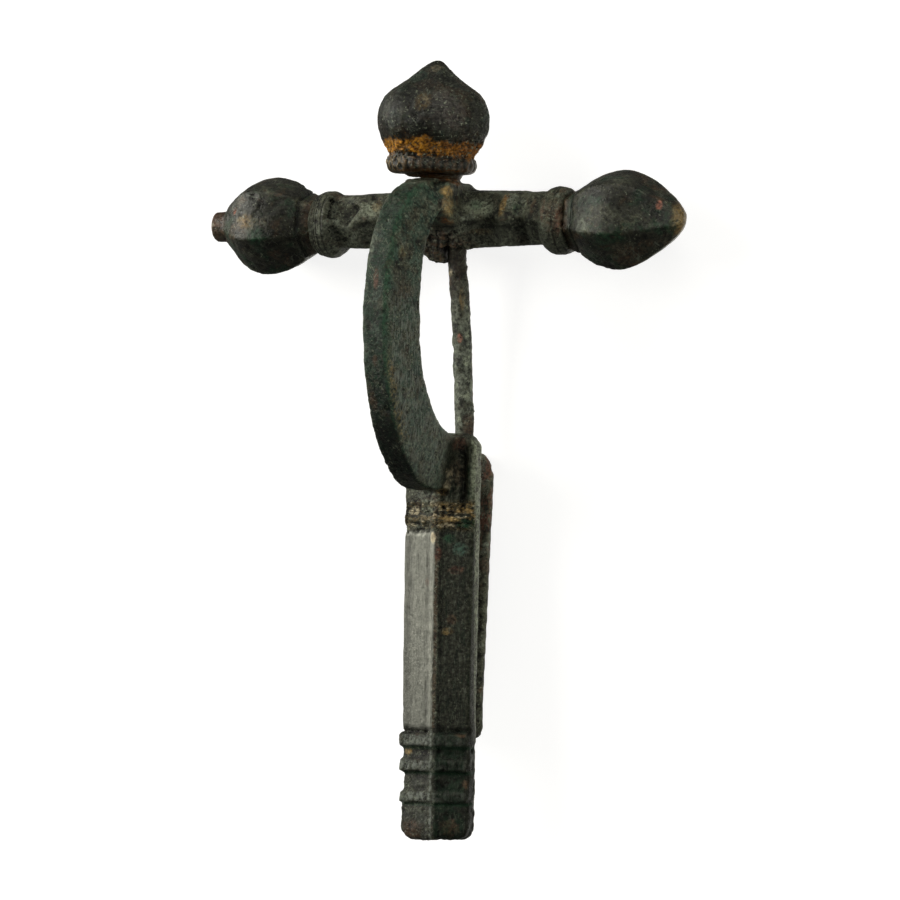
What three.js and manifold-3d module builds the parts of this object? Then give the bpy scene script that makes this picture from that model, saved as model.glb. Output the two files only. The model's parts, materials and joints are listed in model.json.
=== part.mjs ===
// Late Roman crossbow brooch: a cast bronze crossbar, arched bow and long foot in one piece,
// an onion knob on the head and one on each arm, and a needle hinged in the crossbar.
// Millimetres. +X runs along the crossbar, +Y from foot to head, +Z up; the brooch lies on its
// back, on the two arm knobs and the lip of the needle catch, with the bow standing up.
import * as THREE from 'three';
import { mergeVertices } from 'three/addons/utils/BufferGeometryUtils.js';
import Module from 'manifold-3d';

const wasm = await Module();
wasm.setup();

// ---- driving dimensions -------------------------------------------------------------------
const HEAD_TIP_Y = 40.0; // point of the head knob
const FOOT_END_Y = -40.0; // far end of the foot
const FIT_GAP = 0.3; // clearance between separate pieces

// crossbar: a six-sided bar on the axis (BAR_Y, BAR_Z)
const BAR_Y = 23.4;
const BAR_Z = 5.05; // height of the bar's axis above the surface it lies over
const BAR_RADIUS = 3.15; // from the axis to the ridge along the front, next to the bow
// corners of the bar's section as shares of that radius, (toward the head, up), from the ridge
const BAR_CORNERS = [[0.04, 1], [0.97, 0.46], [1.08, -0.4], [0.15, -0.92], [-0.83, -0.45], [-0.85, 0.42]];
const BAR_TAPER = 0.9; // size of the section at the outer end of an arm
const ARM_INNER_X = 2.9; // side of the head block
const ARM_OUTER_X = 11.6; // start of the collar
const COLLAR_END_X = 14.35;
const COLLAR_START_RADIUS = 2.75;
const COLLAR_RADIUS = 3.55;
const COLLAR_EDGE_RADIUS = 3.2;
const LEFT_COLLAR_GROOVES = 3;
const COLLAR_GROOVE_DEPTH = 0.16;

// carving along the front face of each arm, by distance from the middle of the bar
const RIGHT_HOLLOWS = [[3.1, 7.2], [8.5, 10.3]]; // from, to
const LEFT_HOLLOWS = [[3.1, 8.9]];
const HOLLOW_DEPTH = { upper: 0.4, lower: 0.7 }; // on the faces above and below the ridge
const LEFT_PANEL = { from: 9.5, to: 12.5, height: 2.5, depth: 0.3 };
// a wedge at the panel's inner end, whose floor falls away from the panel, in degrees
const LEFT_WEDGE = { from: 11.1, length: 1.9, height: 2.6, fall: 28, turn: -25 };

// arm knobs: six-sided onions, 11.9 mm from neck to point
const KNOB_START_X = COLLAR_END_X + FIT_GAP;
const KNOB_RADIUS = 5.3;
const KNOB_TURN = -12; // degrees: the front facet looks a little toward the head
const KNOB_FACETING = 0.85; // 1 is a sharp hexagon, 0 is round
const STUB_RADIUS = 1.6;
const STUB_START_X = 24.2; // casting stub left on the left knob
const STUB_END_X = 26.4;

// head block, where the bow grows out of the crossbar
const BLOCK_HALF_WIDTH = 2.95;
const BLOCK_TOP = 6.1; // above the bar's axis
const BLOCK_BACK_Y = 27.4;
const BLOCK_WORN_EDGE = 0.3; // how far its two side edges are rounded away

// bow: an arch of trapezoid section between an outer and an inner curve
const BOW_CENTRE_Y = 12.2;
const BOW_OUTER = { centreZ: 5.0, rise: 12.1, head: 15.4, foot: 16.3, headPower: 2.2, footPower: 2.0 };
const BOW_INNER = { centreZ: 2.0, rise: 9.2, head: 12.8, foot: 10.8, headPower: 2.6, footPower: 2.0 };
const BOW_OUTER_HALF_WIDTH = { head: 1.12, foot: 1.42 };
const BOW_INNER_HALF_WIDTH = 2.6;
const BOW_STEPS = 40;

// foot: a long bar with a low roof, rising slightly toward its end
const FOOT_HEAD_Y = 1.75;
const FOOT_HEAD_HALF_WIDTH = 3.98;
const FOOT_END_HALF_WIDTH = 3.7;
const FOOT_EDGE_HEAD = 1.2; // height of the roof's edge above the bar's axis, at the head end
const FOOT_EDGE_END = 3.0; // the same at the far end
const FOOT_SIDE = 2.0; // height of the side walls
const ROOF_RISE = 0.72; // ridge above the edges
const SPINE_HALF_WIDTH = 0.28; // of the fine raised line along the ridge, at its top
const SPINE_FOOT_HALF_WIDTH = 0.39;
const SPINE_RISE = 0.14;
// rounding of the foot's two ends: distance from the end, how far the corners are pulled in there
const FOOT_HEAD_ROUNDING = [[0, 1.4], [0.35, 0.7], [1.3, 0]];
const FOOT_END_ROUNDING = [[1.1, 0], [0.5, 0.22], [0.15, 0.6], [0, 1.1]];
const MOULDING_STEP = 0.12; // length over which a moulding's side slopes
const GROOVE = -0.3;
const RIB = 0.24;
// cross mouldings of the foot, from head to end: from Y, to Y, height over the plain roof
const MOULDINGS = [
  [-6.15, -6.5, GROOVE],
  [-6.5, -7.7, 0.12],
  [-7.7, -8.15, GROOVE],
  [-28.75, -29.05, GROOVE],
  [-29.05, -30.45, RIB],
  [-30.45, -31.7, -0.12],
  [-31.7, -33.0, RIB],
  [-33.0, -33.3, GROOVE],
  [-33.3, -35.0, -0.2],
  [-35.0, -36.15, RIB * 0.8],
  [-36.15, -36.45, GROOVE],
];

// needle catch: a channel under the foot, closed on the left and open on the right
const CATCH_HEAD_Y = -0.2;
const CATCH_END_Y = -30.3;
const CATCH_LEFT_X = -3.9;
const CATCH_RIGHT_X = 3.1;
const CATCH_CORNER = 1.7;
const WEB_THICKNESS = 1.1;
const WEB_CORNER = 0.4;
const LIP_THICKNESS = 0.9;
const LIP_LEVEL_Y = -3.0; // the lip is level from its head end to here, then rises
const LIP_SLOPE = 0.115;

// needle, with an eye on an axle that crosses a slot in the bar
const NEEDLE_X = 1.1;
const NEEDLE_TIP_Y = -24.0;
const NEEDLE_RADIUS = 1.03;
const NEEDLE_TIP_RADIUS = 0.3;
const NEEDLE_LOW_Y = 1.0; // lowest point of its slight bend
const NEEDLE_LOW = -2.3; // its axis there, from the bar's axis
const NEEDLE_TIP_LEVEL = -0.65;
const EYE_RADIUS = 1.75;
const EYE_WIDTH = 2.2;
const AXLE_RADIUS = 0.7;
const BORE_RADIUS = AXLE_RADIUS + FIT_GAP;
const AXLE_BEARING = 1.3; // length of axle held in each cheek
const SLOT_CLEARANCE = 0.3;
const SLOT_MOUTH_TOP = 1.15; // top of the slot's front mouth, from the bar's axis
const LUG_RADIUS = 2.55;
const LUG_WIDTH = 2.3;
const LUG_FORWARD = 1.7; // its centre, from the bar's axis toward the foot
const LUG_DROP = 0.7; // and below it

// head knob: a soft onion on a beaded collar, leaning slightly to the right
const NECK_RADIUS = 2.85;
const NECK_X = -0.25;
const NECK_Z = BAR_Z + 2.5;
const NECK_END_Y = 27.85;
const HEAD_START_Y = NECK_END_Y + FIT_GAP;
const HEAD_LEAN = 3.5; // degrees
const HEAD_X = -0.5; // middle of the collar
const HEAD_FACETING = 0.55;
const HEAD_TURN = -20;
const BEAD_COUNT = 32;
const BEAD_RING_RADIUS = 4.78;
const BEAD_DEPTH = 0.22;

const BRONZE = { roughness: 0.55, metalness: 0.6 };

// ---- geometry helpers ---------------------------------------------------------------------
const radians = THREE.MathUtils.degToRad;
const lerp = THREE.MathUtils.lerp;

// A closed solid through rings of equally many points; each end is closed by a fan.
function loft(rings) {
  const count = rings[0].length;
  const points = rings.flat();
  const faces = [];
  for (let i = 0; i + 1 < rings.length; i += 1) {
    for (let j = 0; j < count; j += 1) {
      const k = (j + 1) % count;
      const a = i * count + j;
      const b = i * count + k;
      faces.push(a, b, b + count, a, b + count, a + count);
    }
  }
  for (const start of [0, (rings.length - 1) * count]) {
    const centre = new THREE.Vector3();
    for (const point of points.slice(start, start + count)) centre.addScaledVector(point, 1 / count);
    const middle = points.push(centre) - 1;
    for (let j = 0; j < count; j += 1) {
      const a = start + j;
      const b = start + ((j + 1) % count);
      faces.push(...(start === 0 ? [b, a, middle] : [a, b, middle]));
    }
  }
  const geometry = new THREE.BufferGeometry().setFromPoints(points);
  geometry.setIndex(faces);
  return facingOut(geometry);
}

// The same geometry with its triangles turned to face outward.
function facingOut(geometry) {
  const position = geometry.attributes.position;
  const index = geometry.index.array;
  const [a, b, c] = [new THREE.Vector3(), new THREE.Vector3(), new THREE.Vector3()];
  let volume = 0;
  for (let i = 0; i < index.length; i += 3) {
    a.fromBufferAttribute(position, index[i]);
    b.fromBufferAttribute(position, index[i + 1]);
    c.fromBufferAttribute(position, index[i + 2]);
    volume += a.dot(b.cross(c));
  }
  if (volume > 0) return geometry;
  const turned = [];
  for (let i = 0; i < index.length; i += 3) turned.push(index[i], index[i + 2], index[i + 1]);
  geometry.setIndex(turned);
  return geometry;
}

function solid(geometry) {
  const bare = geometry.clone();
  bare.deleteAttribute('normal');
  bare.deleteAttribute('uv');
  const merged = facingOut(mergeVertices(bare, 1e-4));
  return new wasm.Manifold(new wasm.Mesh({
    numProp: 3,
    vertProperties: new Float32Array(merged.attributes.position.array),
    triVerts: new Uint32Array(merged.index.array),
  }));
}

function joined(parts) {
  return parts.reduce((whole, part) => whole.add(part));
}

function namedMesh(name, body, color) {
  const { vertProperties, triVerts } = body.getMesh();
  const geometry = new THREE.BufferGeometry();
  geometry.setAttribute('position', new THREE.BufferAttribute(new Float32Array(vertProperties), 3));
  geometry.setIndex(new THREE.BufferAttribute(new Uint32Array(triVerts), 1));
  geometry.computeVertexNormals();
  const mesh = new THREE.Mesh(geometry, new THREE.MeshStandardMaterial({ color, ...BRONZE }));
  mesh.name = name;
  return mesh;
}

// A profile drawn in (y, z) and extruded along X.
function slabAlongX(profile, fromX, toX) {
  const shape = new THREE.Shape(profile.map(([y, z]) => new THREE.Vector2(y, z)));
  const slab = new THREE.ExtrudeGeometry(shape, { depth: toX - fromX, bevelEnabled: false });
  const [x, y, z] = [new THREE.Vector3(1, 0, 0), new THREE.Vector3(0, 1, 0), new THREE.Vector3(0, 0, 1)];
  slab.applyMatrix4(new THREE.Matrix4().makeBasis(y, z, x));
  return slab.translate(fromX, 0, 0);
}

function cylinderAlongX(radius, fromX, toX, y, z, sides = 32) {
  const cylinder = new THREE.CylinderGeometry(radius, radius, toX - fromX, sides);
  return cylinder.rotateZ(Math.PI / 2).translate((fromX + toX) / 2, y, z);
}

// A turned shape: profile points are [distance along the axis, radius]; the axis is +Y.
function turned(profile, sides) {
  const points = profile.map(([along, radius]) => new THREE.Vector2(radius, along));
  return new THREE.LatheGeometry(points, sides);
}

// Distance from the centre to the side of a softened hexagon, corner radius 1.
function hexagonReach(angle, turn, faceting) {
  const sector = Math.PI / 3;
  const offset = THREE.MathUtils.euclideanModulo(angle - turn, sector) - sector / 2;
  const flat = Math.cos(sector / 2) / Math.cos(offset);
  return lerp(1, flat, faceting);
}

// Runs 0, 1, 0 while `turns` runs over a whole number.
function wave(turns) {
  return 0.5 - 0.5 * Math.cos(2 * Math.PI * turns);
}

// A smooth radius between [distance, radius] stations.
function radiusCurve(stations) {
  const points = stations.map(([along, radius]) => new THREE.Vector3(along, radius, 0));
  return new THREE.CatmullRomCurve3(points, false, 'centripetal');
}

// A faceted onion along +Y, from [distance, radius] stations.
function onion(stations, steps, sides, turn, faceting) {
  const rings = radiusCurve(stations).getPoints(steps).map(({ x: along, y: radius }) => {
    const ring = [];
    for (let j = 0; j < sides; j += 1) {
      const angle = (j / sides) * Math.PI * 2 + turn;
      const reach = radius * hexagonReach(angle, turn, faceting);
      ring.push(new THREE.Vector3(reach * Math.sin(angle), along, reach * Math.cos(angle)));
    }
    return ring;
  });
  return loft(rings);
}

// ---- crossbar -----------------------------------------------------------------------------
function barSection(x, share) {
  const size = BAR_RADIUS * share;
  return BAR_CORNERS.map(([head, up]) => new THREE.Vector3(x, BAR_Y + head * size, BAR_Z + up * size));
}

function crossbar() {
  const inCollar = COLLAR_END_X - 0.5;
  const ends = [-inCollar, -ARM_INNER_X, ARM_INNER_X, inCollar];
  const shares = [BAR_TAPER, 1, 1, BAR_TAPER];
  return solid(loft(ends.map((x, i) => barSection(x, shares[i]))));
}

function collar(side, grooves) {
  const steps = grooves ? grooves * 6 : 10;
  const length = COLLAR_END_X - ARM_OUTER_X;
  const profile = [[0, 0]];
  for (let i = 0; i <= steps; i += 1) {
    const t = i / steps;
    const bulge = Math.sin(Math.PI * t) ** 0.75;
    const edge = lerp(COLLAR_START_RADIUS, COLLAR_EDGE_RADIUS, t);
    const groove = COLLAR_GROOVE_DEPTH * t * wave(grooves * t);
    profile.push([t * length, edge + (COLLAR_RADIUS - edge) * bulge - groove]);
  }
  profile.push([length, 0]);
  const ring = turned(profile, 24).rotateZ(-side * Math.PI / 2);
  return solid(ring.translate(side * ARM_OUTER_X, BAR_Y, BAR_Z));
}

// The two faces that meet at the front ridge: each one's middle, slope across the bar and height.
function barFace(which) {
  const corners = barSection(0, (1 + BAR_TAPER) / 2);
  const [low, high] = which === 'upper' ? [corners[0], corners[1]] : [corners[5], corners[0]];
  return {
    middle: low.clone().add(high).multiplyScalar(0.5),
    along: high.clone().sub(low).normalize(),
    height: high.distanceTo(low),
  };
}

// Places a cutter drawn with its length on +Y and its top on +Z onto one of those faces at x.
function ontoBarFace(geometry, which, x, lift) {
  const { middle, along } = barFace(which);
  const across = new THREE.Vector3(1, 0, 0);
  const outward = across.clone().cross(along);
  geometry.applyMatrix4(new THREE.Matrix4().makeBasis(across, along, outward));
  return geometry.translate(x, middle.y + outward.y * lift, middle.z + outward.z * lift);
}

// A shallow flute across one face, deepest in its middle.
function hollow(side, [from, to], which) {
  const half = (to - from) / 2;
  const depth = HOLLOW_DEPTH[which];
  const radius = (half * half + depth * depth) / (2 * depth);
  const cutter = new THREE.CylinderGeometry(radius, radius, barFace(which).height * 1.6, 48);
  return solid(ontoBarFace(cutter, which, side * (from + half), radius - depth));
}

function leftPanel() {
  const { from, to, height, depth } = LEFT_PANEL;
  const cutter = new THREE.BoxGeometry(to - from, height, depth * 2);
  return solid(ontoBarFace(cutter, 'upper', -(from + to) / 2, 0));
}

function leftWedge() {
  const { from, length, height, fall, turn } = LEFT_WEDGE;
  const cutter = new THREE.BoxGeometry(length, height, length).translate(length / 2, 0, length / 2);
  cutter.rotateY(radians(fall)).rotateZ(radians(turn));
  return solid(ontoBarFace(cutter, 'upper', -from, 0));
}

// The block between the arms, over and behind which the bow and the head knob's neck stand.
function headBlock() {
  const top = BAR_Z + BLOCK_TOP;
  const profile = [
    [BLOCK_BACK_Y - 0.9, BAR_Z - 2.0],
    [BLOCK_BACK_Y, BAR_Z - 0.6],
    [BLOCK_BACK_Y, top - 1.2],
    [BLOCK_BACK_Y - 0.9, top],
    [BAR_Y + 1.1, top],
    [BAR_Y - 0.1, top - 1.2],
    [BAR_Y - 0.5, BAR_Z + 2.2],
    [BAR_Y - 0.5, BAR_Z],
    [BAR_Y, BAR_Z - 2.0],
  ];
  const middle = new THREE.Vector2((BAR_Y + BLOCK_BACK_Y) / 2, BAR_Z + BLOCK_TOP / 2);
  const ring = (x, shrink) => profile.map(([y, z]) => {
    const out = new THREE.Vector2(y, z).sub(middle);
    out.setLength(out.length() - shrink).add(middle);
    return new THREE.Vector3(x, out.x, out.y);
  });
  const half = BLOCK_HALF_WIDTH;
  const worn = BLOCK_WORN_EDGE;
  return solid(loft([ring(-half, worn), ring(-half + worn, 0), ring(half - worn, 0), ring(half, worn)]));
}

function neck() {
  const stub = new THREE.CylinderGeometry(NECK_RADIUS, NECK_RADIUS, NECK_END_Y - BAR_Y - 1, 28);
  return solid(stub.translate(NECK_X, (NECK_END_Y + BAR_Y + 1) / 2, NECK_Z));
}

// ---- bow ----------------------------------------------------------------------------------
// A point of one of the arch's two curves; t runs from the head (0) over the top to the foot (1).
function archPoint(curve, t) {
  const angle = Math.PI * t;
  const [c, s] = [Math.cos(angle), Math.sin(angle)];
  const power = c > 0 ? curve.headPower : curve.footPower;
  const reach = c > 0 ? curve.head : curve.foot;
  return new THREE.Vector2(
    BOW_CENTRE_Y + Math.sign(c) * reach * Math.abs(c) ** (2 / power),
    BAR_Z + curve.centreZ + curve.rise * Math.max(s, 0) ** (2 / power),
  );
}

function bowSection(outer, inner, t) {
  const o = lerp(BOW_OUTER_HALF_WIDTH.head, BOW_OUTER_HALF_WIDTH.foot, t * t);
  const i = BOW_INNER_HALF_WIDTH;
  return [
    new THREE.Vector3(-o, outer.x, outer.y),
    new THREE.Vector3(o, outer.x, outer.y),
    new THREE.Vector3(i, inner.x, inner.y),
    new THREE.Vector3(-i, inner.x, inner.y),
  ];
}

function bow() {
  const rings = [];
  for (let i = 0; i <= BOW_STEPS; i += 1) {
    const t = i / BOW_STEPS;
    rings.push(bowSection(archPoint(BOW_OUTER, t), archPoint(BOW_INNER, t), t));
  }
  // straight down into the head block and into the foot
  const sunk = (ring, level) => ring.map((p) => new THREE.Vector3(p.x, p.y, BAR_Z + level));
  return solid(loft([sunk(rings[0], BLOCK_TOP - 2), ...rings, sunk(rings.at(-1), 0.2)]));
}

// ---- foot ---------------------------------------------------------------------------------
const footShare = (y) => THREE.MathUtils.clamp((FOOT_HEAD_Y - y) / (FOOT_HEAD_Y - FOOT_END_Y), 0, 1);
const footHalfWidth = (y) => lerp(FOOT_HEAD_HALF_WIDTH, FOOT_END_HALF_WIDTH, footShare(y));
const footEdge = (y) => BAR_Z + lerp(FOOT_EDGE_HEAD, FOOT_EDGE_END, footShare(y));
const footUnderside = (y) => footEdge(y) - FOOT_SIDE;

// One section of the foot; `trim` pulls the corners in at a rounded end.
function footSection(y, height, trim) {
  const half = footHalfWidth(y) - trim;
  const drop = trim * 0.4;
  const edge = footEdge(y) + height - drop;
  const ridge = edge + ROOF_RISE;
  const spine = footEdge(y) + Math.max(height, 0) + ROOF_RISE + SPINE_RISE - drop;
  const bottom = footUnderside(y) + drop;
  const left = half + height; // the mouldings also break the left side's outline
  const corners = [
    [-left, bottom],
    [-left, edge],
    [-SPINE_FOOT_HALF_WIDTH, ridge],
    [-SPINE_HALF_WIDTH, spine],
    [SPINE_HALF_WIDTH, spine],
    [SPINE_FOOT_HALF_WIDTH, ridge],
    [half, edge],
    [half, bottom],
  ];
  return corners.map(([x, z]) => new THREE.Vector3(x, y, z));
}

function foot() {
  // stations along the foot: Y, height of the moulding there, trim of the rounded ends
  const stations = FOOT_HEAD_ROUNDING.map(([inward, trim]) => [FOOT_HEAD_Y - inward, 0, trim]);
  const half = MOULDING_STEP / 2;
  for (const [from, to, height] of MOULDINGS) {
    if (!MOULDINGS.some((last) => last[1] === from)) stations.push([from + MOULDING_STEP, 0, 0]);
    stations.push([from - half, height, 0], [to + half, height, 0]);
    if (!MOULDINGS.some((next) => next[0] === to)) stations.push([to - MOULDING_STEP, 0, 0]);
  }
  stations.push(...FOOT_END_ROUNDING.map(([inward, trim]) => [FOOT_END_Y + inward, 0, trim]));
  return solid(loft(stations.map(([y, height, trim]) => footSection(y, height, trim))));
}

// ---- catch --------------------------------------------------------------------------------
const lipUnderside = (y) => Math.max(0, LIP_LEVEL_Y - y) * LIP_SLOPE;

// A plate from the catch's left side to toX, with its two right corners rounded, between two
// heights that follow the lip's rise.
function catchPlate(toX, corner, bottom, top) {
  const arcSteps = 6;
  const arc = (centreY, fromAngle) => Array.from({ length: arcSteps + 1 }, (_, i) => {
    const angle = fromAngle - (i / arcSteps) * Math.PI / 2;
    return [toX - corner + corner * Math.cos(angle), centreY + corner * Math.sin(angle)];
  });
  const rightEdge = [
    ...arc(CATCH_HEAD_Y - corner, Math.PI / 2),
    [toX, LIP_LEVEL_Y],
    ...arc(CATCH_END_Y + corner, 0),
  ];
  return solid(loft(rightEdge.map(([x, y]) => [
    new THREE.Vector3(CATCH_LEFT_X, y, bottom(y)),
    new THREE.Vector3(x, y, bottom(y)),
    new THREE.Vector3(x, y, top(y)),
    new THREE.Vector3(CATCH_LEFT_X, y, top(y)),
  ])));
}

function needleCatch() {
  const lipTop = (y) => lipUnderside(y) + LIP_THICKNESS;
  const intoFoot = (y) => footUnderside(y) + FOOT_SIDE / 4;
  const lip = catchPlate(CATCH_RIGHT_X, CATCH_CORNER, lipUnderside, lipTop);
  const web = catchPlate(CATCH_LEFT_X + WEB_THICKNESS, WEB_CORNER, lipUnderside, intoFoot);
  return lip.add(web);
}

// ---- hinge --------------------------------------------------------------------------------
const EYE_LEFT = NEEDLE_X - EYE_WIDTH / 2;
const EYE_RIGHT = NEEDLE_X + EYE_WIDTH / 2;
const SLOT_LEFT = EYE_LEFT - SLOT_CLEARANCE;
const SLOT_RIGHT = EYE_RIGHT + SLOT_CLEARANCE;

// The rounded cheek that stands out below the bar on the left of the needle.
function lug() {
  const sides = 20;
  const rings = [0, 0.25, 0.5, 0.75, 1].map((t) => {
    const radius = LUG_RADIUS * Math.sqrt(1 - (0.82 * t) ** 2);
    return Array.from({ length: sides }, (_, j) => {
      const angle = (j / sides) * Math.PI * 2;
      return new THREE.Vector3(
        SLOT_LEFT - t * LUG_WIDTH,
        BAR_Y - LUG_FORWARD + radius * Math.cos(angle),
        BAR_Z - LUG_DROP + radius * Math.sin(angle),
      );
    });
  });
  return solid(loft(rings));
}

// Room for the eye and for the needle's swing: a round pocket, a front mouth and an open underside.
function slot() {
  const pocket = cylinderAlongX(EYE_RADIUS + SLOT_CLEARANCE, SLOT_LEFT, SLOT_RIGHT, BAR_Y, BAR_Z);
  const reach = EYE_RADIUS + SLOT_CLEARANCE;
  const mouth = slabAlongX([
    [BAR_Y - 8, BAR_Z - 6], [BAR_Y - 8, BAR_Z + SLOT_MOUTH_TOP], [BAR_Y, BAR_Z + SLOT_MOUTH_TOP],
    [BAR_Y + reach, BAR_Z], [BAR_Y + reach, BAR_Z - 6],
  ], SLOT_LEFT, SLOT_RIGHT);
  return solid(pocket).add(solid(mouth));
}

function axleBore() {
  const margin = AXLE_BEARING + SLOT_CLEARANCE;
  const bore = cylinderAlongX(BORE_RADIUS, SLOT_LEFT - margin, SLOT_RIGHT + margin, BAR_Y, BAR_Z, 24);
  return solid(bore);
}

function hingeAxle() {
  const [from, to] = [SLOT_LEFT - AXLE_BEARING, SLOT_RIGHT + AXLE_BEARING];
  return solid(cylinderAlongX(AXLE_RADIUS, from, to, BAR_Y, BAR_Z, 24));
}

// The needle's axis: down from the eye in a slight bend, then up a little inside the catch.
function needleAxis() {
  const eye = new THREE.Vector2(BAR_Y, 0);
  const tip = new THREE.Vector2(NEEDLE_TIP_Y, NEEDLE_TIP_LEVEL);
  const low = new THREE.Vector2(NEEDLE_LOW_Y, NEEDLE_LOW);
  const headArm = new THREE.Vector2(lerp(BAR_Y, NEEDLE_LOW_Y, 0.5), NEEDLE_LOW * 0.72);
  const tipArm = low.clone().lerp(tip, 0.5).setY(lerp(NEEDLE_LOW, NEEDLE_TIP_LEVEL, 0.28));
  return new THREE.SplineCurve([eye, headArm, low, tipArm, tip]);
}

function needle() {
  const axis = needleAxis();
  const steps = 26;
  const sides = 12;
  const start = (AXLE_RADIUS + FIT_GAP * 1.6) / axis.getLength();
  const rings = [];
  for (let i = 0; i <= steps; i += 1) {
    const t = lerp(start, 1, i / steps);
    const { x: y, y: level } = axis.getPointAt(t);
    const taper = THREE.MathUtils.smoothstep(t, 0.5, 1.0);
    const radius = lerp(NEEDLE_RADIUS, NEEDLE_TIP_RADIUS, taper);
    const ring = [];
    for (let j = 0; j < sides; j += 1) {
      const angle = (j / sides) * Math.PI * 2;
      ring.push(new THREE.Vector3(
        NEEDLE_X + radius * Math.cos(angle), y, BAR_Z + level + radius * Math.sin(angle),
      ));
    }
    rings.push(ring);
  }
  const eye = solid(cylinderAlongX(EYE_RADIUS, EYE_LEFT, EYE_RIGHT, BAR_Y, BAR_Z, 28));
  const hole = solid(cylinderAlongX(BORE_RADIUS, EYE_LEFT - 1, EYE_RIGHT + 1, BAR_Y, BAR_Z, 24));
  return solid(loft(rings)).add(eye).subtract(hole);
}

// ---- knobs --------------------------------------------------------------------------------
// Radius of an arm knob by distance from its neck.
const ARM_KNOB = [
  [0, 3.05], [0.45, 3.3], [1.4, 4.05], [2.8, 4.8], [4.2, 5.18], [5.1, KNOB_RADIUS], [6.3, 5.15],
  [7.6, 4.62],
];
const RIGHT_TIP = [[8.7, 4.0], [9.9, 3.15], [11.2, 2.0], [11.85, 1.15], [12.1, 0.4]];
const LEFT_TIP = [[8.95, 3.35], [9.75, 2.45], [10.4, 1.7]];

function armKnob(side) {
  const stations = ARM_KNOB.concat(side > 0 ? RIGHT_TIP : LEFT_TIP);
  const turn = Math.PI / 2 * side + radians(KNOB_TURN) * side;
  const body = onion(stations, 16, 24, turn, KNOB_FACETING);
  body.rotateZ(-side * Math.PI / 2).translate(side * KNOB_START_X, BAR_Y, BAR_Z);
  if (side > 0) return solid(body);
  const stub = cylinderAlongX(STUB_RADIUS, -STUB_END_X, -STUB_START_X, BAR_Y, BAR_Z, 20);
  return solid(body).add(solid(stub));
}

// Radius of the head knob by distance from the top of its collar.
const HEAD_KNOB = [
  [0, 4.3], [0.5, 4.6], [1.4, 5.3], [2.5, 5.85], [3.5, 6.05], [4.7, 5.9], [5.8, 5.35],
  [6.7, 4.45], [7.4, 3.25], [8.2, 2.15], [8.9, 1.35], [9.4, 0.75], [9.55, 0.3],
];
const COLLAR_LENGTH = 2.2;
const KNOB_IN_COLLAR = 0.35; // how far the onion's base sits inside the collar's top

// A rounded ring cut into beads all the way round.
function beadedCollar() {
  const across = 6;
  const perBead = 4;
  const sides = BEAD_COUNT * perBead;
  const rings = [];
  for (let i = 0; i <= across; i += 1) {
    const t = i / across;
    const bulge = Math.sin(Math.PI * t) ** 0.6;
    const ring = [];
    for (let j = 0; j < sides; j += 1) {
      const angle = (j / sides) * Math.PI * 2;
      const gap = wave(j / perBead) * BEAD_DEPTH * bulge;
      const radius = lerp(NECK_RADIUS + 1.0, BEAD_RING_RADIUS, bulge) - gap;
      ring.push(new THREE.Vector3(radius * Math.sin(angle), t * COLLAR_LENGTH, radius * Math.cos(angle)));
    }
    rings.push(ring);
  }
  return loft(rings);
}

function headKnob() {
  const knob = onion(HEAD_KNOB, 16, 30, radians(HEAD_TURN), HEAD_FACETING);
  const start = COLLAR_LENGTH - KNOB_IN_COLLAR;
  const stretch = (HEAD_TIP_Y - HEAD_START_Y - start) / HEAD_KNOB.at(-1)[0];
  knob.scale(1, stretch, 1).translate(0, start, 0);
  const whole = solid(beadedCollar()).add(solid(knob));
  return whole.rotate([0, 0, -HEAD_LEAN]).translate([HEAD_X, HEAD_START_Y, NECK_Z]);
}

// ---- assembly -----------------------------------------------------------------------------
function body() {
  const bar = joined([crossbar(), collar(1, 0), collar(-1, LEFT_COLLAR_GROOVES)]);
  const carving = joined([
    ...['upper', 'lower'].flatMap((which) => [
      ...RIGHT_HOLLOWS.map((span) => hollow(1, span, which)),
      ...LEFT_HOLLOWS.map((span) => hollow(-1, span, which)),
    ]),
    leftPanel(),
    leftWedge(),
  ]);
  const head = joined([bar.subtract(carving), headBlock(), neck(), lug()]);
  return joined([head.subtract(slot()).subtract(axleBore()), bow(), foot(), needleCatch()]);
}

const brooch = new THREE.Group();
brooch.add(
  namedMesh('body', body(), '#3f4a40'),
  namedMesh('head_knob', headKnob(), '#3a3830'),
  namedMesh('left_knob', armKnob(-1), '#3c443b'),
  namedMesh('right_knob', armKnob(1), '#3c443b'),
  namedMesh('pin', needle(), '#59604f'),
  namedMesh('hinge_axle', hingeAxle(), '#5a4534'),
);

export default brooch;
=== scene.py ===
"""Late Roman crossbow brooch lying on its catch and knobs: corroded skins for the frame's solids.

The CAD solids are remeshed evenly, their edges are worn and old metal's relief is pressed into
them; one patina is mixed for each casting. Lengths inside the mesh and material code are in
millimetres, because the relief is that small; objects are in metres, as the frame is. The foot
points toward -y, the head toward +y, the arms lie along x and the bow rises toward +z.
"""

import json
import math

import bmesh
import bpy
import numpy as np
from mathutils import Matrix, Vector, noise

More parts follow.
